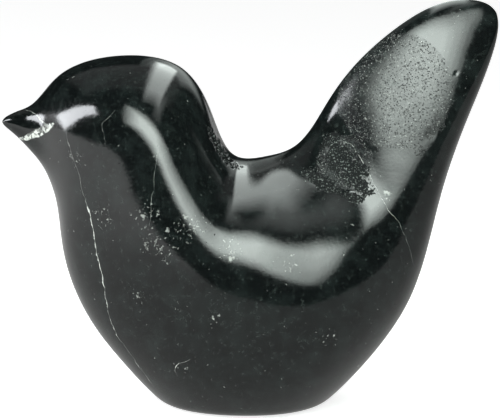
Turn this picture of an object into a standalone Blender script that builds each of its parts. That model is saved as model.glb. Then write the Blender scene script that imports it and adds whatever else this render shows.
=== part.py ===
# Carved stone bird: one polished piece of dark serpentine marble, ground flat below.
# It faces -X and stands on the plane z = 0, with +Z up.
import math

import bmesh
import bpy

# Driving sizes, in metres
BIRD_LENGTH = 0.100  # tip of the beak to the tip of the tail
BODY_WIDTH = 0.050  # across the body at its widest rib
FOOT_EDGE_RADIUS = 0.0020  # rounding between the flanks and the ground underside

# How finely the skin is divided
POINTS_AROUND = 12  # control points on each rib: one on the back, one on the belly, five a side
SMOOTHING_LEVELS = 2  # subdivisions of the control cage
EDGE_CUTS = (-1.0, -0.4, 0.2, 1.0)  # heights that divide the rounded foot edge, in radii

STONE_COLOUR = (0.012, 0.014, 0.014, 1.0)
STONE_ROUGHNESS = 0.12

# The two ends of the figure, in hundredths of its length: forward of the middle is -x
BEAK_TIP = (-50.3, 58.3)
TAIL_TIP = (49.7, 80.6)

# The ribs of the figure, from the beak to the tail. Each one lies across the body, from a point
# on the back line to a point on the belly line, both in hundredths of the bird's length. The last
# five numbers are half its width on the way down, in hundredths of the body's greatest width.
RIBS = {
    "beak_point": ((-49.1, 59.5), (-49.2, 57.1), (1.1, 1.9, 2.2, 1.9, 1.1)),
    "beak_middle": ((-46.6, 60.6), (-46.8, 55.2), (2.2, 3.8, 4.6, 4.1, 2.4)),
    "beak_root": ((-44.0, 61.4), (-44.3, 52.4), (3.4, 5.8, 6.8, 6.0, 3.6)),
    "face": ((-41.6, 64.2), (-42.0, 49.8), (5.2, 8.6, 10.0, 9.0, 5.6)),
    "forehead": ((-38.2, 68.4), (-40.2, 46.2), (9.0, 14.6, 16.4, 13.4, 8.4)),
    "crown": ((-31.8, 71.2), (-38.7, 41.1), (16.6, 25.4, 25.8, 19.6, 12.0)),
    "back_of_head": ((-22.2, 72.1), (-38.3, 33.5), (22.0, 35.6, 32.6, 24.8, 15.6)),
    "nape": ((-13.3, 70.2), (-36.5, 25.7), (21.5, 39.4, 38.0, 30.0, 19.0)),
    "neck": ((-8.4, 63.0), (-32.8, 17.5), (18.5, 40.6, 44.4, 34.5, 20.5)),
    "breast": ((-5.6, 53.6), (-26.5, 9.4), (26.5, 45.0, 47.6, 36.5, 20.5)),
    "shoulder": ((-2.4, 49.9), (-14.6, -4.0), (28.0, 46.0, 50.2, 39.5, 18.5)),
    "saddle": ((3.4, 51.0), (-0.6, -6.8), (25.6, 44.0, 50.2, 41.5, 18.5)),
    "rump": ((8.5, 52.3), (12.2, -3.6), (15.5, 38.0, 49.0, 43.0, 19.0)),
    "tail_root": ((12.0, 55.9), (25.4, 10.4), (9.6, 25.0, 42.0, 41.0, 23.0)),
    "tail_foot": ((15.0, 61.3), (33.2, 21.8), (6.0, 11.6, 27.6, 29.4, 20.0)),
    "tail_low": ((18.7, 67.1), (36.5, 33.8), (6.6, 14.0, 21.5, 24.0, 19.4)),
    "tail_middle": ((23.7, 72.7), (38.7, 44.4), (5.2, 11.0, 17.0, 19.8, 18.4)),
    "tail_high": ((29.8, 77.8), (42.2, 55.1), (4.6, 9.0, 13.0, 15.2, 14.8)),
    "tail_shoulder": ((36.1, 81.8), (45.9, 64.0), (3.8, 6.8, 9.4, 10.6, 10.2)),
    "tail_end": ((42.4, 83.3), (48.9, 72.0), (2.4, 3.6, 4.7, 5.2, 5.0)),
    "tail_point": ((47.2, 82.6), (50.0, 77.0), (1.4, 1.8, 2.2, 2.4, 2.2)),
}

DRAWING_UNIT = BIRD_LENGTH / 100  # the ribs' points are drawn in hundredths of the length
WIDTH_UNIT = BODY_WIDTH / 100


def clear_scene():
    for old in list(bpy.data.objects):
        bpy.data.objects.remove(old)


def rib_points(back, belly, half_widths):
    """The control points of one rib. Smoothing pulls a ring in, so they stand that much outside it."""
    pull = (2 + math.cos(2 * math.pi / POINTS_AROUND)) / 3
    middle = [(a + b) / 2 for a, b in zip(back, belly)]
    reach = [(a - b) / 2 / pull for a, b in zip(back, belly)]
    down = [0.0, *half_widths, 0.0]
    up = [-width for width in reversed(half_widths)]
    points = []
    for step, width in enumerate(down + up):
        turn = math.cos(2 * math.pi * step / POINTS_AROUND)
        x, z = (m + r * turn for m, r in zip(middle, reach))
        points.append((x * DRAWING_UNIT, width * WIDTH_UNIT / pull, z * DRAWING_UNIT))
    return points


def end_point(tip):
    return (tip[0] * DRAWING_UNIT, 0.0, tip[1] * DRAWING_UNIT)


def control_cage(name):
    """The ribs joined by quads, with a fan of triangles at the beak's and the tail's tip."""
    shape = bmesh.new()
    rings = [[shape.verts.new(p) for p in rib_points(*rib)] for rib in RIBS.values()]
    for ring, following in zip(rings, rings[1:]):
        for i in range(POINTS_AROUND):
            j = (i + 1) % POINTS_AROUND
            shape.faces.new((ring[i], ring[j], following[j], following[i]))
    for tip, ring in ((BEAK_TIP, rings[0]), (TAIL_TIP, rings[-1])):
        point = shape.verts.new(end_point(tip))
        for i in range(POINTS_AROUND):
            shape.faces.new((point, ring[i], ring[(i + 1) % POINTS_AROUND]))
    bmesh.ops.recalc_face_normals(shape, faces=shape.faces[:])
    mesh = bpy.data.meshes.new(name)
    shape.to_mesh(mesh)
    shape.free()
    cage = bpy.data.objects.new(name, mesh)
    bpy.context.collection.objects.link(cage)
    return cage


def smooth_skin(cage):
    """Replaces the cage by the round skin that subdivision makes of it."""
    rounding = cage.modifiers.new("round", "SUBSURF")
    rounding.levels = rounding.render_levels = SMOOTHING_LEVELS
    skin = bpy.data.meshes.new_from_object(
        cage.evaluated_get(bpy.context.evaluated_depsgraph_get())
    )
    cage.modifiers.remove(rounding)
    cage.data = skin


def ground_height(z):
    """Where a point of the full round belly ends up once the underside is ground flat."""
    if z <= -FOOT_EDGE_RADIUS:
        return 0.0
    if z < FOOT_EDGE_RADIUS:
        return (z + FOOT_EDGE_RADIUS) ** 2 / (4 * FOOT_EDGE_RADIUS)
    return z


def grind_underside(bird):
    """Makes the underside one flat face, with a rounded edge of a few steps round it."""
    shape = bmesh.new()
    shape.from_mesh(bird.data)
    for height in EDGE_CUTS:
        bmesh.ops.bisect_plane(
            shape,
            geom=shape.verts[:] + shape.edges[:] + shape.faces[:],
            plane_co=(0, 0, height * FOOT_EDGE_RADIUS),
            plane_no=(0, 0, 1),
        )
    for v in shape.verts:
        v.co.z = round(ground_height(v.co.z), 9)  # to the nanometre, so the flat is exactly flat
    flat = [f for f in shape.faces if not any(v.co.z for v in f.verts)]
    bmesh.ops.dissolve_faces(shape, faces=flat, use_verts=True)
    bmesh.ops.recalc_face_normals(shape, faces=shape.faces[:])
    shape.to_mesh(bird.data)
    shape.free()


def centre_on_origin(bird):
    """The origin is below the middle of the figure's length."""
    xs = [v.co.x for v in bird.data.vertices]
    middle = (min(xs) + max(xs)) / 2
    for v in bird.data.vertices:
        v.co.x -= middle


def stone_material():
    material = bpy.data.materials.new("polished_dark_stone")
    material.use_nodes = True
    shader = material.node_tree.nodes["Principled BSDF"]
    shader.inputs["Base Color"].default_value = STONE_COLOUR
    shader.inputs["Roughness"].default_value = STONE_ROUGHNESS
    shader.inputs["Metallic"].default_value = 0.0
    return material


def main():
    clear_scene()
    bird = control_cage("stone_bird")
    smooth_skin(bird)
    grind_underside(bird)
    centre_on_origin(bird)
    bird.data.materials.clear()
    bird.data.materials.append(stone_material())
    bird.data.shade_smooth()


main()
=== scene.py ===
import math

import bmesh
import bpy
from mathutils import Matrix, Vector, noise
from mathutils.bvhtree import BVHTree


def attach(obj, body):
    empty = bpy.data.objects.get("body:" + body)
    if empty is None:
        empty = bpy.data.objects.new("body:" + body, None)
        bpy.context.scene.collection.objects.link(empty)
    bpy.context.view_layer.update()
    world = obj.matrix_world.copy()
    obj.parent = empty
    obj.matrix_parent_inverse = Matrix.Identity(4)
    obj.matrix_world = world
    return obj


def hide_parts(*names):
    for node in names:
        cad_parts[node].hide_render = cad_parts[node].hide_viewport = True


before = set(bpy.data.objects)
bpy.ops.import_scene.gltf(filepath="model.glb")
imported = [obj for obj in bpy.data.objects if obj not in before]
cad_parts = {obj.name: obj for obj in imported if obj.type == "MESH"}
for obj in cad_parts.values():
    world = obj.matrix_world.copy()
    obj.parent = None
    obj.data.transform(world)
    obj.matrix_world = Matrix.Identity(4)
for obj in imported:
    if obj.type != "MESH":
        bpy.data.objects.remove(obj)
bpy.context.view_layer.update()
scene = bpy.context.scene
scene.view_settings.view_transform = "Standard"  # keeps the stone near black and the floor white

# The photograph's frame, in pixels, and the camera that took it
view = {
    "size": (500, 418),
    "target": (0.00014, 0.0, 0.0404),
    "distance": 0.5,
    "elevation": 10.0,
    "lens": 177.3,  # mm, on a sensor 36 mm wide
    "sensor": 36.0,
}


def directionTo(azimuth, elevation):
    # degrees: azimuth goes from the camera's side, -Y, round towards +X
    a, e = math.radians(azimuth), math.radians(elevation)
    return Vector((math.sin(a) * math.cos(e), -math.cos(a) * math.cos(e), math.sin(e)))


def makeCamera():
    towards = directionTo(0, view["elevation"])
    lens = bpy.data.cameras.new("camera")
    lens.lens, lens.sensor_width, lens.clip_start = view["lens"], view["sensor"], 0.01
    camera = bpy.data.objects.new("camera", lens)
    camera.location = Vector(view["target"]) + view["distance"] * towards
    camera.rotation_euler = towards.to_track_quat("Z", "Y").to_euler()
    scene.collection.objects.link(camera)
    scene.camera = camera


def spotOnStone(skin, pixel):
    # where the line of sight through a pixel of the photograph meets the stone
    tilt = math.radians(view["elevation"])
    towards = directionTo(0, view["elevation"])
    up = Vector((0, math.sin(tilt), math.cos(tilt)))
    focal = view["lens"] / view["sensor"] * view["size"][0]
    right, down = pixel[0] - view["size"][0] / 2, pixel[1] - view["size"][1] / 2
    eye = Vector(view["target"]) + view["distance"] * towards
    sight = (Vector((right, 0, 0)) - down * up - focal * towards).normalized()
    hit = skin.ray_cast(eye, sight)[0]
    return hit or skin.find_nearest(eye - sight * eye.y / sight.y)[0]


# The ribs are the figure's own: a point on the back line, one on the belly line, in hundredths of
# its length, then half the width on the way down, in hundredths of the body's width
bird = {
    "length": 0.100,
    "width": 0.050,
    "footEdge": 0.0020,  # rounding round the ground underside
    "edgeCuts": (-1.0, -0.6, -0.2, 0.2, 0.6, 1.0),  # what divides that rounding, in its radii
    "flatWithin": 1e-7,  # metres
    "pointsAround": 12,
    "smoothing": 4,  # skin quads of about 0.4 mm, for clean reflections
    "beakTip": (-50.3, 58.3),
    "tailTip": (49.7, 80.6),
    "ribs": {
        "beakPoint": ((-49.1, 59.5), (-49.2, 57.1), (1.1, 1.9, 2.2, 1.9, 1.1)),
        "beakMiddle": ((-46.6, 60.6), (-46.8, 55.2), (2.2, 3.8, 4.6, 4.1, 2.4)),
        "beakRoot": ((-44.0, 61.4), (-44.3, 52.4), (3.4, 5.8, 6.8, 6.0, 3.6)),
        "face": ((-41.6, 64.2), (-42.0, 49.8), (5.2, 8.6, 10.0, 9.0, 5.6)),
        "forehead": ((-38.2, 68.4), (-40.2, 46.2), (9.0, 14.6, 16.4, 13.4, 8.4)),
        "crown": ((-31.8, 71.2), (-38.7, 41.1), (16.6, 25.4, 25.8, 19.6, 12.0)),
        "backOfHead": ((-22.2, 72.1), (-38.3, 33.5), (22.0, 35.6, 32.6, 24.8, 15.6)),
        "nape": ((-13.3, 70.2), (-36.5, 25.7), (21.5, 39.4, 38.0, 30.0, 19.0)),
        "neck": ((-8.4, 63.0), (-32.8, 17.5), (18.5, 40.6, 44.4, 34.5, 20.5)),
        "breast": ((-5.6, 53.6), (-26.5, 9.4), (26.5, 45.0, 47.6, 36.5, 20.5)),
        "shoulder": ((-2.4, 49.9), (-14.6, -4.0), (28.0, 46.0, 50.2, 39.5, 18.5)),
        "saddle": ((3.4, 51.0), (-0.6, -6.8), (25.6, 44.0, 50.2, 41.5, 18.5)),
        "rump": ((8.5, 52.3), (12.2, -3.6), (15.5, 38.0, 49.0, 43.0, 19.0)),
        "tailRoot": ((12.0, 55.9), (25.4, 10.4), (9.6, 25.0, 42.0, 41.0, 23.0)),
        "tailFoot": ((15.0, 61.3), (33.2, 21.8), (6.0, 11.6, 27.6, 29.4, 20.0)),
        "tailLow": ((18.7, 67.1), (36.5, 33.8), (6.6, 14.0, 21.5, 24.0, 19.4)),
        "tailMiddle": ((23.7, 72.7), (38.7, 44.4), (5.2, 11.0, 17.0, 19.8, 18.4)),
        "tailHigh": ((29.8, 77.8), (42.2, 55.1), (4.6, 9.0, 13.0, 15.2, 14.8)),
        "tailShoulder": ((36.1, 81.8), (45.9, 64.0), (3.8, 6.8, 9.4, 10.6, 10.2)),
        "tailEnd": ((42.4, 83.3), (48.9, 72.0), (2.4, 3.6, 4.7, 5.2, 5.0)),
        "tailPoint": ((47.2, 82.6), (50.0, 77.0), (1.4, 1.8, 2.2, 2.4, 2.2)),
    },
}


def ribPoints(back, belly, halfWidths):
    # smoothing pulls a ring in, so its points stand that much outside it
    count = bird["pointsAround"]
    pull = (2 + math.cos(2 * math.pi / count)) / 3
    along, across = bird["length"] / 100, bird["width"] / 100
    halves = [0.0, *halfWidths, 0.0, *(-width for width in reversed(halfWidths))]
    points = []
    for step, width in enumerate(halves):
        turn = math.cos(2 * math.pi * step / count)
        x, z = ((a + b) / 2 + (a - b) / 2 / pull * turn for a, b in zip(back, belly))
        points.append((x * along, width * across / pull, z * along))
    return points


def smoothSkin():
    # the ribs joined into a cage, and the round skin that subdivision makes of it
    count, along = bird["pointsAround"], bird["length"] / 100
    shape = bmesh.new()
    rings = [[shape.verts.new(p) for p in ribPoints(*rib)] for rib in bird["ribs"].values()]
    for ring, following in zip(rings, rings[1:]):
        for i in range(count):
            j = (i + 1) % count
            shape.faces.new((ring[i], ring[j], following[j], following[i]))
    for tip, ring in ((bird["beakTip"], rings[0]), (bird["tailTip"], rings[-1])):
        point = shape.verts.new((tip[0] * along, 0.0, tip[1] * along))
        for i in range(count):
            shape.faces.new((point, ring[i], ring[(i + 1) % count]))
    bmesh.ops.recalc_face_normals(shape, faces=shape.faces[:])
    mesh = bpy.data.meshes.new("cage")
    shape.to_mesh(mesh)
    shape.free()
    piece = bpy.data.objects.new("carved_bird", mesh)
    scene.collection.objects.link(piece)
    rounding = piece.modifiers.new("round", "SUBSURF")
    rounding.levels = rounding.render_levels = bird["smoothing"]
    skin = bpy.data.meshes.new_from_object(piece.evaluated_get(bpy.context.evaluated_depsgraph_get()))
    piece.modifiers.remove(rounding)
    piece.data = skin
    return piece


def grindUnderside(shape):
    # cuts the belly off flat, with a small rounded edge, and centres the bird on its length
    edge = bird["footEdge"]
    for cut in bird["edgeCuts"]:
        everything = shape.verts[:] + shape.edges[:] + shape.faces[:]
        bmesh.ops.bisect_plane(
            shape, geom=everything, plane_co=(0, 0, cut * edge), plane_no=(0, 0, 1))
    middle = (min(v.co.x for v in shape.verts) + max(v.co.x for v in shape.verts)) / 2
    for v in shape.verts:
        v.co.x -= middle
        if v.co.z <= -edge:
            v.co.z = 0.0
        elif v.co.z < edge:
            v.co.z = (v.co.z + edge) ** 2 / (4 * edge)
    flat = [f for f in shape.faces if all(v.co.z < bird["flatWithin"] for v in f.verts)]
    bmesh.ops.dissolve_faces(shape, faces=flat, use_verts=True)
    bmesh.ops.recalc_face_normals(shape, faces=shape.faces[:])


# What the carver's hand and time left in the surface: pixel, radius and depth in mm
wear = {
    "waves": [(11.0, 0.05), (2.6, 0.012)],  # hand polishing leaves slow waves: length and height in mm
    "waveStart": (3.1, 7.7, 1.9),  # where in the wave pattern the bird lies
    "waveFade": 0.006,  # metres above the foot
    "crumbled": [  # the crease behind the neck was never polished out, and has crumbled
        ((214, 139), 1.6, 0.35),
        ((219, 148), 1.9, 0.50),
        ((225, 156), 1.9, 0.55),
        ((232, 163), 1.5, 0.40),
    ],
    "dents": [
        ((181, 366), 0.9, 0.10),
        ((352, 196), 1.2, 0.10),
        ((322, 178), 2.6, 0.12),
        ((430, 135), 1.3, 0.08),
        ((456, 73), 0.5, 0.10),
        ((145, 300), 0.7, 0.08),
    ],
    "fineCuts": 2,  # how often the skin's quads are divided there, and at the larger dents
    "coarseCuts": 1,
    "smallDent": 1.0,  # mm: a larger one needs no finer quads
    "largeDull": 1.9,  # mm: from this size on a dull spot does with coarser quads
    "dull": [  # spots that never took a polish: pixel and radius
        ((308, 172), 1.2), ((315, 176), 1.6), ((323, 181), 1.7), ((331, 187), 1.3), ((338, 191), 0.8),
        ((347, 194), 0.9), ((354, 197), 1.3), ((361, 199), 0.8), ((283, 163), 0.3), ((247, 178), 0.3),
        ((226, 158), 1.3), ((219, 148), 1.4), ((214, 139), 1.2), ((232, 164), 1.0), ((209, 129), 0.7),
        ((331, 143), 2.0), ((338, 152), 2.6), ((346, 163), 2.9), ((353, 174), 2.7), ((360, 185), 2.0),
        ((367, 192), 1.2),
    ],
}


def refineNear(shape, spots, cuts):
    # smaller quads where something sharp is cut: spots and how far it reaches, in mm
    near = [
        f for f in shape.faces
        if any((f.calc_center_median() - spot).length < reach / 1000 for spot, reach in spots)
    ]
    edges = list({e for f in near for e in f.edges})
    bmesh.ops.subdivide_edges(shape, edges=edges, cuts=cuts, use_grid_fill=True)
    # what borders on the smaller quads has more than four corners, and the underside far more
    bmesh.ops.triangulate(shape, faces=[f for f in shape.faces if 4 < len(f.verts) < 40])


def pushSkin(shape, pushAt, *spots):
    # moves every point of the skin outwards by as many millimetres as pushAt gives
    shape.normal_update()
    moves = [v.normal * pushAt(v.co, *spots) / 1000 for v in shape.verts]
    for v, move in zip(shape.verts, moves):
        v.co += move


def waveAt(place):
    # slow hand-made waves over the whole skin, fading out at the foot
    start = Vector(wear["waveStart"])
    push = sum(height * noise.noise(place * 1000 / length + start) for length, height in wear["waves"])
    return push * min(1.0, place.z / wear["waveFade"])


def crumbleAt(place, spots):
    # a broken hollow with angular facets: deep between the cells of a cell pattern
    depth = 0.0
    for spot, radius, deepest in spots:
        away = (place - spot).length * 1000 / radius
        if away < 1.5:
            ragged = noise.noise(place * 1700) * 0.9  # 0.6 mm tears along the edge
            fall = max(0.0, min(1.0, (1.1 + ragged - away) / 0.35))
            flakes = noise.voronoi(place * 1500)[0][0] + 0.5 * noise.noise(place * 3000)
            depth = max(depth, fall * deepest * (0.35 + 0.9 * flakes))
    return -depth


def dentAt(place, spots):
    # a soft-edged hollow that isn't quite round
    depth = 0.0
    for spot, radius, deepest in spots:
        away = (place - spot).length * 1000 / radius
        if away < 1.3:
            ragged = 0.35 * noise.noise(place * 900)
            fall = max(0.0, min(1.0, 1.15 + ragged - away))
            depth = max(depth, deepest * fall * fall * (3 - 2 * fall))
    return -depth


def markDull(shape, spots):
    # faces that never took a polish carry the second material, with an edge ragged by 1.1 and 0.4 mm
    for f in shape.faces:
        centre = f.calc_center_median()
        ragged = 1 + 0.7 * noise.noise(centre * 900) + 0.5 * noise.noise(centre * 2600)
        f.material_index = int(any(
            (centre - spot).length < radius / 1000 * ragged for spot, radius in spots))


def makeBird():
    piece = smoothSkin()
    shape = bmesh.new()
    shape.from_mesh(piece.data)
    grindUnderside(shape)
    smooth = BVHTree.FromBMesh(shape)
    pushSkin(shape, waveAt)
    broken = [(spotOnStone(smooth, pixel), r, depth) for pixel, r, depth in wear["crumbled"]]
    dents = [(spotOnStone(smooth, pixel), r, depth) for pixel, r, depth in wear["dents"]]
    dull = [(spotOnStone(smooth, pixel), r) for pixel, r in wear["dull"]]
    fine, coarse, large = wear["fineCuts"], wear["coarseCuts"], wear["largeDull"]
    refineNear(shape, [(spot, r * 1.4) for spot, r, depth in broken], fine)
    refineNear(shape, [(spot, r * 1.2) for spot, r, depth in dents if r < wear["smallDent"]], coarse)
    refineNear(shape, [(spot, r * 1.2) for spot, r in dull if r < large], fine)
    refineNear(shape, [(spot, r * 1.2) for spot, r in dull if r >= large], coarse)
    pushSkin(shape, dentAt, dents)
    pushSkin(shape, crumbleAt, broken)
    markDull(shape, dull)
    shape.to_mesh(piece.data)
    shape.free()
    piece.data.shade_smooth()
    return piece, smooth


def toLinear(hexColour):
    # sRGB hex to the linear colour that a shader takes
    values = [int(hexColour[i:i + 2], 16) / 255 for i in (1, 3, 5)]
    return [v / 12.92 if v <= 0.04045 else ((v + 0.055) / 1.055) ** 2.4 for v in values] + [1.0]


def addNode(tree, kind, settings):
    # a setting that is a node or a socket gets linked, and any other is typed in
    node = tree.nodes.new(kind)
    for key, value in settings.items():
        if isinstance(key, str) and hasattr(node, key):
            setattr(node, key, value)
            continue
        socket = node.inputs[key]
        if isinstance(value, bpy.types.Node):
            tree.links.new(value.outputs[0], socket)
        elif isinstance(value, bpy.types.NodeSocket):
            tree.links.new(value, socket)
        else:
            socket.default_value = value
    return node


def drawCurve(node, points):
    curve = node.mapping.curves[0]
    for place, value in points[1:-1]:
        curve.points.new(place, value)
    curve.points[0].location = points[0]
    curve.points[-1].location = points[-1]
    node.mapping.update()


# Serpentine marble: near black and faintly green, healed with white calcite, ground and polished
# with wet grit, so it mirrors the room weakly and every pit and vein breaks the mirror.
# Pixels are where the photograph shows a feature. Sizes are in mm.
stone = {
    "dark": "#0b0e0e",
    "cloud": "#1d2322",
    "mottle": "#4a534f",
    "calcite": "#c9ccc6",
    # painted shade in the holes
    "paintedHoleShade": "#070808",
    "speck": "#7d837f",
    "ior": 1.54,  # serpentine and calcite
    "roughness": (0.06, 0.15),  # of the best polished crystals and of the worst
    "duller": (0.15, 0.25, 0.5),  # what coarse grit, calcite with the painted glints, and holes add to it
    "unpolished": (0.6, 0.12),  # roughness, and how much it mirrors, where the usual is 0.5
    "cloudSize": 4.0,
    "mottleSize": 0.9,
    "speckSize": 0.3125,
    "grain": (0.55, 0.9),  # crystals that stand out: size, and height in hundredths
    "holeDepth": 3.0,  # hundredths
    "bend": (2.2, 1.0),  # slow drifts that bend everything: their size, and how far they shift
    "rag": (0.6, 0.4),  # the same for ragged edges
    "beadSize": 1.1,  # a vein swells and thins out over this length
    "veinEdge": 0.13,
    "fragmentSize": 0.6,  # broken pieces in the collars
    "collarEdge": 0.3,
    "veins": {  # half width, then pixel and strength along each one, from the bottom up
        "breast": (0.19, [
            ((170, 405), 0.0), ((155, 388), 0.3), ((140, 368), 0.36), ((125, 347), 0.36),
            ((112, 325), 0.45), ((106, 300), 0.6), ((103, 280), 0.8), ((97, 255), 0.8),
            ((93, 230), 1.0), ((89, 212), 1.1), ((86, 202), 0.4), ((83, 192), 0.24),
            ((79, 174), 0.55), ((74, 160), 0.26), ((68, 142), 0.45), ((65, 130), 0.0),
        ]),
        "cheek": (0.11, [
            ((106, 142), 0.0), ((104, 134), 0.6), ((103, 125), 0.5), ((109, 117), 0.6),
            ((115, 110), 0.0),
        ]),
        "flank": (0.12, [
            ((150, 226), 0.0), ((151, 205), 0.7), ((153, 190), 0.5), ((156, 165), 0.4),
            ((161, 138), 0.0),
        ]),
        "tail": (0.13, [
            ((420, 282), 0.0), ((410, 250), 0.3), ((398, 222), 0.5), ((384, 203), 0.7),
            ((377, 191), 0.6), ((368, 172), 0.7), ((360, 157), 0.7), ((349, 143), 0.9),
            ((336, 138), 0.7), ((322, 132), 0.0),
        ]),
        "scratch": (0.15, [
            ((178, 377), 0.0), ((175, 370), 0.6), ((178, 364), 0.9), ((187, 361), 0.7),
            ((193, 358), 0.0),
        ]),
    },
    "collars": {  # broken calcite round the root of the beak
        "lower": (1.5, [
            ((17, 142), 0.8), ((27, 138), 1.0), ((36, 134), 1.05), ((44, 129), 0.9), ((51, 123), 0.5),
        ]),
        "upper": (0.36, [
            ((48, 126), 1.0), ((41, 120), 0.9), ((34, 113), 0.8), ((26, 108), 0.9), ((21, 105), 0.7),
        ]),
    },
    "clusters": [  # where flecks of calcite crowd: pixel and radius
        ((160, 243), 6.0), ((190, 226), 5.0), ((148, 215), 5.0), ((104, 216), 4.0), ((140, 299), 3.0),
        ((182, 310), 2.6), ((215, 318), 2.6), ((290, 262), 3.0), ((182, 366), 3.0), ((368, 120), 1.8),
        ((385, 196), 2.4), ((330, 340), 3.0), ((75, 160), 3.0), ((230, 250), 4.0),
    ],
    # size, level that the noise must pass elsewhere and in a crowd, and strength past it
    "flecks": [(1.5, 0.735, 0.62, 6.0), (0.65, 0.70, 0.60, 4.5)],
    "fleckWhite": 0.42,  # the whitest that a fleck gets
    "gritty": [((393, 90), 12.3), ((345, 163), 6.0)],  # what the fine grit never reached
    "rough": [((438, 123), 1.9), ((430, 134), 1.4), ((419, 150), 1.5)],  # torn out by the coarse grit
    # coarse grit leaves marks of 0.1 mm, too fine to show, so they are drawn a quarter of a
    # millimetre apart, as pale specks that are painted glints and as holes: spacing, share of cells
    # that hold one, its sizes and its strengths
    "paintedGlints": (0.27, 0.3, (0.3, 0.6), (0.05, 0.42)),
    "gritHoles": (0.26, 0.34, (0.3, 0.7), (0.4, 1.0)),
    "roughShare": 0.85,  # of the cells, where the coarse grit tore the stone
    "pinholes": (1.7, 0.16, (0.05, 0.11), (0.6, 1.0)),
    "cores": {"clusters": 0.3, "gritty": 0.93, "rough": 0.6},  # parts of the radii that are full
}


def calciteSheet(tree, place, halfWidth, course, skin):
    # a sheet of calcite that runs straight through the stone and shows as a line on it
    marks = [(spotOnStone(skin, pixel) * 1000, share) for pixel, share in course]
    marks.sort(key=lambda mark: mark[0].z)
    low, high = marks[0][0].z, marks[-1][0].z
    left = min(spot.x for spot, share in marks) - 2
    right = max(spot.x for spot, share in marks) + 2
    heights = [(spot.z - low) / (high - low) for spot, share in marks]
    sides = addNode(tree, "ShaderNodeSeparateXYZ", {0: place})
    along = addNode(tree, "ShaderNodeMapRange", {
        "Value": sides.outputs["Z"], "From Min": low, "From Max": high})
    path = addNode(tree, "ShaderNodeFloatCurve", {"Value": along})
    drawCurve(path, [(h, (spot.x - left) / (right - left)) for h, (spot, share) in zip(heights, marks)])
    middle = addNode(tree, "ShaderNodeMapRange", {"Value": path, "To Min": left, "To Max": right})
    offset = addNode(tree, "ShaderNodeMath", {
        "operation": "SUBTRACT", 0: sides.outputs["X"], 1: middle})
    distance = addNode(tree, "ShaderNodeMath", {"operation": "ABSOLUTE", 0: offset})
    strength = addNode(tree, "ShaderNodeFloatCurve", {"Value": along})
    drawCurve(strength, [(h, min(1.0, share)) for h, (spot, share) in zip(heights, marks)])
    # the line ends at both of its ends
    above = addNode(tree, "ShaderNodeMath", {
        "operation": "GREATER_THAN", 0: sides.outputs["Z"], 1: low})
    below = addNode(tree, "ShaderNodeMath", {
        "operation": "LESS_THAN", 0: sides.outputs["Z"], 1: high})
    within = addNode(tree, "ShaderNodeMath", {"operation": "MULTIPLY", 0: above, 1: below})
    wide = addNode(tree, "ShaderNodeMath", {"operation": "MULTIPLY", 0: strength, 1: within})
    reach = addNode(tree, "ShaderNodeMath", {"operation": "MULTIPLY", 0: wide, 1: halfWidth})
    return distance, reach


def veinMask(tree, place, halfWidth, course, skin):
    distance, reach = calciteSheet(tree, place, halfWidth, course, skin)
    beads = addNode(tree, "ShaderNodeTexNoise", {
        "Vector": place, "Scale": 1 / stone["beadSize"], "Detail": 4.0})
    swell = addNode(tree, "ShaderNodeMapRange", {
        "Value": beads, "From Min": 0.35, "From Max": 0.65, "To Min": 0.3, "To Max": 1.15})
    edge = addNode(tree, "ShaderNodeMath", {"operation": "MULTIPLY", 0: reach, 1: swell})
    inside = addNode(tree, "ShaderNodeMath", {"operation": "SUBTRACT", 0: edge, 1: distance})
    return addNode(tree, "ShaderNodeMath", {
        "operation": "MULTIPLY", "use_clamp": True, 0: inside, 1: 1 / stone["veinEdge"]})


def collarMask(tree, place, halfWidth, course, skin):
    # angular dark fragments set in white
    distance, reach = calciteSheet(tree, place, halfWidth, course, skin)
    depth = addNode(tree, "ShaderNodeMath", {"operation": "SUBTRACT", 0: reach, 1: distance})
    inside = addNode(tree, "ShaderNodeMath", {
        "operation": "MULTIPLY", "use_clamp": True, 0: depth, 1: 1 / stone["collarEdge"]})
    fragments = addNode(tree, "ShaderNodeTexVoronoi", {
        "Vector": place, "Scale": 1 / stone["fragmentSize"]})
    shade = addNode(tree, "ShaderNodeSeparateColor", {0: fragments.outputs["Color"]})
    white = addNode(tree, "ShaderNodeMapRange", {
        "Value": shade.outputs[0], "From Min": 0.15, "From Max": 0.7, "To Min": 0.12, "To Max": 1.0})
    return addNode(tree, "ShaderNodeMath", {"operation": "MULTIPLY", 0: inside, 1: white})


def nearSpot(tree, place, spot, radius, core):
    # one at the core of a spot, falling to nothing at its radius
    away = addNode(tree, "ShaderNodeVectorMath", {"operation": "DISTANCE", 0: place, 1: spot * 1000})
    return addNode(tree, "ShaderNodeMapRange", {
        "interpolation_type": "SMOOTHSTEP", "Value": away.outputs["Value"],
        "From Min": radius, "From Max": radius * core, "To Min": 0.0, "To Max": 1.0})


def largest(tree, masks):
    total = masks[0]
    for mask in masks[1:]:
        total = addNode(tree, "ShaderNodeMath", {"operation": "MAXIMUM", 0: total, 1: mask})
    return total


def nearAny(tree, place, kind, skin):
    core = stone["cores"][kind]
    return largest(tree, [
        nearSpot(tree, place, spotOnStone(skin, pixel), radius, core) for pixel, radius in stone[kind]])


def bend(tree, place, size, reach):
    # shifts every place a little, so that nothing in the stone runs straight or round
    drift = addNode(tree, "ShaderNodeTexNoise", {"Vector": place, "Scale": 1 / size, "Detail": 3.0})
    centred = addNode(tree, "ShaderNodeVectorMath", {
        "operation": "SUBTRACT", 0: drift.outputs["Color"], 1: (0.5, 0.5, 0.5)})
    shift = addNode(tree, "ShaderNodeVectorMath", {"operation": "SCALE", 0: centred, "Scale": reach})
    return addNode(tree, "ShaderNodeVectorMath", {"operation": "ADD", 0: place, 1: shift})


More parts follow.
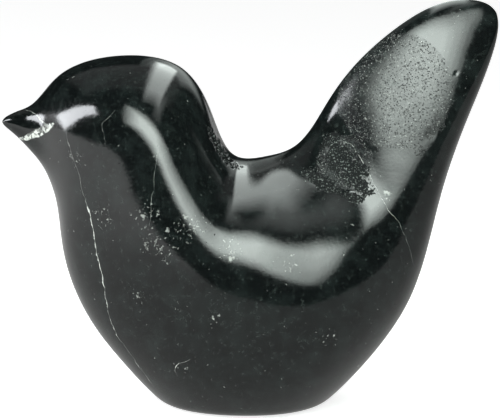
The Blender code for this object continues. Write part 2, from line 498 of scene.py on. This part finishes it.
def grains(tree, place, spacing, share, sizes, strengths):
    # one grain in some of the cells of a cell pattern: sizes as parts of the spacing
    cells = addNode(tree, "ShaderNodeTexVoronoi", {"Vector": place, "Scale": 1 / spacing})
    tint = addNode(tree, "ShaderNodeSeparateColor", {0: cells.outputs["Color"]})
    chosen = addNode(tree, "ShaderNodeMath", {"operation": "LESS_THAN", 0: tint.outputs[0], 1: share})
    size = addNode(tree, "ShaderNodeMapRange", {
        "Value": tint.outputs[1], "To Min": sizes[0], "To Max": sizes[1]})
    dot = addNode(tree, "ShaderNodeMapRange", {
        "Value": cells.outputs["Distance"], "From Min": size, "From Max": 0.0,
        "To Min": 0.0, "To Max": 2.5})
    solid = addNode(tree, "ShaderNodeMath", {
        "operation": "MULTIPLY", "use_clamp": True, 0: dot, 1: chosen})
    strength = addNode(tree, "ShaderNodeMapRange", {
        "Value": tint.outputs[2], "To Min": strengths[0], "To Max": strengths[1]})
    return addNode(tree, "ShaderNodeMath", {"operation": "MULTIPLY", 0: solid, 1: strength})


def calciteAndPaintedGlints(tree, bent, gritty, skin):
    # everything that is calcite: veins, the collar, flecks that crowd in places; and pale specks on the
    # tail, painted glints of its grit pits
    veins = [veinMask(tree, bent, *vein, skin) for vein in stone["veins"].values()]
    collars = [collarMask(tree, bent, *collar, skin) for collar in stone["collars"].values()]
    crowds = nearAny(tree, bent, "clusters", skin)
    flecks = []
    for size, rare, crowded, strength in stone["flecks"]:
        spots = addNode(tree, "ShaderNodeTexNoise", {
            "Vector": bent, "Scale": 1 / size, "Detail": 5.0})
        level = addNode(tree, "ShaderNodeMapRange", {
            "Value": crowds, "To Min": rare, "To Max": crowded})
        over = addNode(tree, "ShaderNodeMath", {"operation": "SUBTRACT", 0: spots, 1: level})
        soft = addNode(tree, "ShaderNodeMath", {"operation": "MULTIPLY", 0: over, 1: strength})
        flecks.append(addNode(tree, "ShaderNodeMath", {
            "operation": "MINIMUM", 0: soft, 1: stone["fleckWhite"]}))
    # pale specks where the grit was coarse: painted glints off its pits
    spacing, share, sizes, strengths = stone["paintedGlints"]
    few = addNode(tree, "ShaderNodeMath", {"operation": "MULTIPLY", 0: gritty, 1: share})
    paintedGlints = grains(tree, bent, spacing, few, sizes, strengths)
    return largest(tree, [*veins, *collars, *flecks, paintedGlints])


def holesInStone(tree, bent, ragged, gritty, skin):
    # pinholes all over, a mass of them where the grit was coarse
    spacing, share, sizes, strengths = stone["gritHoles"]
    rough = nearAny(tree, ragged, "rough", skin)
    many = addNode(tree, "ShaderNodeMath", {"operation": "MULTIPLY", 0: gritty, 1: share})
    most = addNode(tree, "ShaderNodeMath", {
        "operation": "MULTIPLY", 0: rough, 1: stone["roughShare"]})
    coarse = grains(tree, bent, spacing, largest(tree, [many, most]), sizes, strengths)
    pinholes = grains(tree, bent, *stone["pinholes"])
    return largest(tree, [coarse, pinholes])


def polishedSerpentine(skin):
    material = bpy.data.materials.new("polished_serpentine_marble")
    material.use_nodes = True
    tree = material.node_tree
    shader = tree.nodes["Principled BSDF"]
    coordinates = addNode(tree, "ShaderNodeTexCoord", {})
    place = addNode(tree, "ShaderNodeVectorMath", {  # millimetres
        "operation": "SCALE", 0: coordinates.outputs["Object"], "Scale": 1000.0})
    bent = bend(tree, place, *stone["bend"])
    ragged = bend(tree, bent, *stone["rag"])
    gritty = nearAny(tree, bent, "gritty", skin)

    # the dark ground, clouded and finely mottled with slightly paler stone
    clouds = addNode(tree, "ShaderNodeTexNoise", {
        "Vector": bent, "Scale": 1 / stone["cloudSize"], "Detail": 6.0, "Roughness": 0.62})
    cloudy = addNode(tree, "ShaderNodeMapRange", {
        "Value": clouds, "From Min": 0.45, "From Max": 0.8})
    ground = addNode(tree, "ShaderNodeMix", {
        "data_type": "RGBA", 0: cloudy, 6: toLinear(stone["dark"]), 7: toLinear(stone["cloud"])})
    fine = addNode(tree, "ShaderNodeTexNoise", {
        "Vector": bent, "Scale": 1 / stone["mottleSize"], "Detail": 5.0, "Roughness": 0.7})
    mottled = addNode(tree, "ShaderNodeMapRange", {
        "Value": fine, "From Min": 0.55, "From Max": 0.8, "To Min": 0.0, "To Max": 0.35})
    mixed = addNode(tree, "ShaderNodeMix", {
        "data_type": "RGBA", 0: mottled, 6: ground.outputs[2], 7: toLinear(stone["mottle"])})
    # calcite, with the painted glints on the tail
    white = calciteAndPaintedGlints(tree, bent, gritty, skin)
    veined = addNode(tree, "ShaderNodeMix", {
        "data_type": "RGBA", 0: white, 6: mixed.outputs[2], 7: toLinear(stone["calcite"])})

    # holes are dull, and painted darker than the stone: painted shade in them
    holes = holesInStone(tree, bent, ragged, gritty, skin)
    body = addNode(tree, "ShaderNodeMix", {
        "data_type": "RGBA", 0: holes, 6: veined.outputs[2], 7: toLinear(stone["paintedHoleShade"])})
    tree.links.new(body.outputs[2], shader.inputs["Base Color"])
    sheen = addNode(tree, "ShaderNodeMapRange", {
        "Value": fine, "From Min": 0.3, "From Max": 0.7,
        "To Min": stone["roughness"][0], "To Max": stone["roughness"][1]})
    for mask, duller in zip((gritty, white, holes), stone["duller"]):
        sheen = addNode(tree, "ShaderNodeMath", {
            "operation": "MULTIPLY_ADD", "use_clamp": True, 0: mask, 1: duller, 2: sheen})
    tree.links.new(sheen.outputs[0], shader.inputs["Roughness"])

    # relief, in hundredths of a millimetre: the holes, and faint crystal grain everywhere
    size, height = stone["grain"]
    grain = addNode(tree, "ShaderNodeTexNoise", {
        "Vector": place, "Scale": 1 / size, "Detail": 3.0, "Roughness": 0.6})
    relief = addNode(tree, "ShaderNodeMath", {
        "operation": "MULTIPLY", 0: holes, 1: -stone["holeDepth"]})
    grained = addNode(tree, "ShaderNodeMath", {
        "operation": "MULTIPLY_ADD", 0: grain, 1: height, 2: relief})
    bump = addNode(tree, "ShaderNodeBump", {"Height": grained, "Strength": 1.0, "Distance": 0.00001})
    tree.links.new(bump.outputs[0], shader.inputs["Normal"])
    shader.inputs["IOR"].default_value = stone["ior"]
    return material


# Serpentine that never took a polish or has broken away: it scatters what light it doesn't
# swallow and mirrors almost nothing, so it looks like charcoal beside the gloss.
def unpolishedSerpentine():
    material = bpy.data.materials.new("unpolished_serpentine")
    material.use_nodes = True
    tree = material.node_tree
    shader = tree.nodes["Principled BSDF"]
    coordinates = addNode(tree, "ShaderNodeTexCoord", {})
    specks = addNode(tree, "ShaderNodeTexNoise", {
        "Vector": coordinates.outputs["Object"], "Scale": 1000 / stone["speckSize"], "Detail": 3.0})
    paler = addNode(tree, "ShaderNodeMapRange", {
        "Value": specks, "From Min": 0.57, "From Max": 0.72})
    body = addNode(tree, "ShaderNodeMix", {
        "data_type": "RGBA", 0: paler, 6: toLinear(stone["dark"]), 7: toLinear(stone["speck"])})
    tree.links.new(body.outputs[2], shader.inputs["Base Color"])
    roughness, mirroring = stone["unpolished"]
    shader.inputs["Roughness"].default_value = roughness
    shader.inputs["Specular IOR Level"].default_value = mirroring
    return material


# A pale floor with a pale wall far behind it, and the studio's lamps. The stone doesn't mirror
# the wall, as if black cloth hung before it, so that it stays dark between the lamps.
studio = {  # metres
    "floorColour": "#f4f4f2",
    "floorGlow": 0.82,  # a lit sweep, near white all over
    # the grey of the paper that the stone mirrors: painted shade, a darker copy of the floor
    "paintedShadeColour": "#9a9a98",
    "shade": (0.12, 0.95),  # painted light of the mirrored paper, at the tail's side and at the beak's
    "paintedShadeFrom": (0.05, -0.35),  # places along x where that light starts and where it is full
    "mirrorDrop": 0.0005,  # the mirrored paper lies this far below the seen one
    "wallGlow": 0.95,
    "reach": 3.0,
    "wallHeight": 2.5,
    "roomColour": (0.012, 0.014, 0.014, 1),
    "lampLayers": 5,  # a softbox is brightest in its middle, so its layers get smaller
    "layerGap": 0.003,
}
lamps = {  # millimetres and degrees; soft is how much of its size a lamp's soft edge takes up
    "key": {  # a wide softbox close over the camera, the pale band along the flank
        "aim": (0, 0, 40), "azimuth": 6, "elevation": 38.5, "distance": 188, "size": (214, 100),
        "roll": -24, "brightness": 12.5, "colour": "#f4fff9", "soft": 0.75},
    "window": {  # the crisp leaf on the cheek
        "aim": (0, 0, 40), "azimuth": -84, "elevation": 18, "distance": 1200, "size": (900, 240),
        "roll": 42, "brightness": 13.0, "colour": "#f8fbff", "soft": 0.0},
    "back": {  # a strip close above the hollow of the back
        "aim": (30, 75, 45), "azimuth": 180, "elevation": 89, "distance": 124, "size": (62, 254),
        "roll": 0, "brightness": 4.6, "colour": "#f6fffb", "soft": 0.4},
    "rump": {  # the same for the foot of the tail
        "aim": (60, -50, 45), "azimuth": 180, "elevation": 89, "distance": 124, "size": (48, 100),
        "roll": 0, "brightness": 1.4, "colour": "#f6fffb", "soft": 0.9},
    "behind": {  # a small panel close behind it, for the foot of the neck
        "aim": (36, 0, 52), "azimuth": 180, "elevation": 34, "distance": 124, "size": (110, 84),
        "roll": 0, "brightness": 1.0, "colour": "#f6fffb", "soft": 0.6},
    "ceiling": {
        "aim": (0, 560, 40), "azimuth": 180, "elevation": 89, "distance": 1200, "size": (3000, 1400),
        "roll": 0, "brightness": 0.2, "colour": "#ffffff", "soft": 0.3},
    "card": {  # a white card low behind the bird's breast
        "aim": (0, 0, 40), "azimuth": -128, "elevation": 4, "distance": 1500, "size": (1900, 240),
        "roll": 0, "brightness": 0.6, "colour": "#ffffff", "soft": 0.0},
    "tailCard": {  # another behind the tail
        "aim": (0, 0, 40), "azimuth": 135, "elevation": 0, "distance": 1500, "size": (1500, 240),
        "roll": 0, "brightness": 0.6, "colour": "#ffffff", "soft": 0.0},
}


def plainMaterial(name, colour, glow):
    material = bpy.data.materials.new(name)
    material.use_nodes = True
    shader = material.node_tree.nodes["Principled BSDF"]
    shader.inputs["Base Color"].default_value = toLinear(colour)
    shader.inputs["Roughness"].default_value = 0.9
    shader.inputs["Emission Color"].default_value = (1, 1, 1, 1)
    shader.inputs["Emission Strength"].default_value = glow
    return material


def stageSheet(name, points, faces, material):
    mesh = bpy.data.meshes.new(name)
    mesh.from_pydata(points, [], faces)
    mesh.materials.append(material)
    sheet = bpy.data.objects.new(name, mesh)
    scene.collection.objects.link(sheet)
    return sheet


def makeStudio():
    reach, top = studio["reach"], studio["wallHeight"]
    corners = [(-reach, -reach), (reach, -reach), (reach, reach), (-reach, reach)]
    floor = stageSheet(
        "floor", [(x, y, 0) for x, y in corners], [(0, 1, 2, 3)],
        plainMaterial("matt_paper_sweep", studio["floorColour"], studio["floorGlow"]))
    floor.visible_glossy = False
    # what the stone mirrors in its place: grey paper, a darker copy of the floor, with a painted glow
    # that fades into painted shade towards the tail
    paintedShadePaper = plainMaterial("paper_with_painted_shade", studio["paintedShadeColour"], 0.0)
    tree = paintedShadePaper.node_tree
    spot = addNode(tree, "ShaderNodeTexCoord", {})
    along = addNode(tree, "ShaderNodeSeparateXYZ", {0: spot.outputs["Object"]})
    glow = addNode(tree, "ShaderNodeMapRange", {
        "interpolation_type": "SMOOTHSTEP", "Value": along.outputs["X"],
        "From Min": studio["paintedShadeFrom"][0], "From Max": studio["paintedShadeFrom"][1],
        "To Min": studio["shade"][0], "To Max": studio["shade"][1]})
    tree.links.new(glow.outputs[0], tree.nodes["Principled BSDF"].inputs["Emission Strength"])
    mirrored = stageSheet(
        "floor_mirrored", [(x, y, -studio["mirrorDrop"]) for x, y in corners], [(0, 1, 2, 3)], paintedShadePaper)
    mirrored.visible_camera = mirrored.visible_diffuse = mirrored.visible_shadow = False
    rows = [(x, y, z) for z in (0, top) for x, y in corners]
    sides = [(i, (i + 1) % 4, (i + 1) % 4 + 4, i + 4) for i in range(4)]
    wall = stageSheet(
        "wall", rows, sides + [(4, 5, 6, 7)],
        plainMaterial("matt_paper_wall", "#000000", studio["wallGlow"]))
    wall.visible_glossy = wall.visible_diffuse = wall.visible_shadow = False


def hangLamp(name, lamp, share, brightness):
    light = bpy.data.lights.new(name, "AREA")
    light.shape = "RECTANGLE"
    light.size, light.size_y = (side * share / 1000 for side in lamp["size"])
    light.energy = brightness * math.pi * light.size * light.size_y
    light.color = toLinear(lamp["colour"])[:3]
    thing = bpy.data.objects.new(name, light)
    towards = directionTo(lamp["azimuth"], lamp["elevation"])
    nearer = (1 - share) * studio["layerGap"]  # the smaller layers hang a little in front
    thing.location = Vector(lamp["aim"]) / 1000 + towards * (lamp["distance"] / 1000 - nearer)
    thing.rotation_euler = towards.to_track_quat("Z", "Y").to_euler()
    thing.rotation_euler.rotate_axis("Z", math.radians(lamp["roll"]))
    thing.visible_camera = False
    scene.collection.objects.link(thing)


def makeLamps():
    for name, lamp in lamps.items():
        layers = studio["lampLayers"] if lamp["soft"] else 1
        for layer in range(layers):
            share = 1 - lamp["soft"] * layer / layers
            hangLamp(f"{name}_{layer}", lamp, share, lamp["brightness"] / layers)
    world = bpy.data.worlds.new("dark room")
    world.use_nodes = True
    world.node_tree.nodes["Background"].inputs["Color"].default_value = studio["roomColour"]
    scene.world = world


makeCamera()
print("camera set")
carved, smoothStone = makeBird()
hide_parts("stone_bird")
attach(carved, "root")
print("bird carved:", len(carved.data.polygons), "faces")
carved.data.materials.append(polishedSerpentine(smoothStone))
carved.data.materials.append(unpolishedSerpentine())
print("stone polished")
makeStudio()
makeLamps()
print("studio lit")
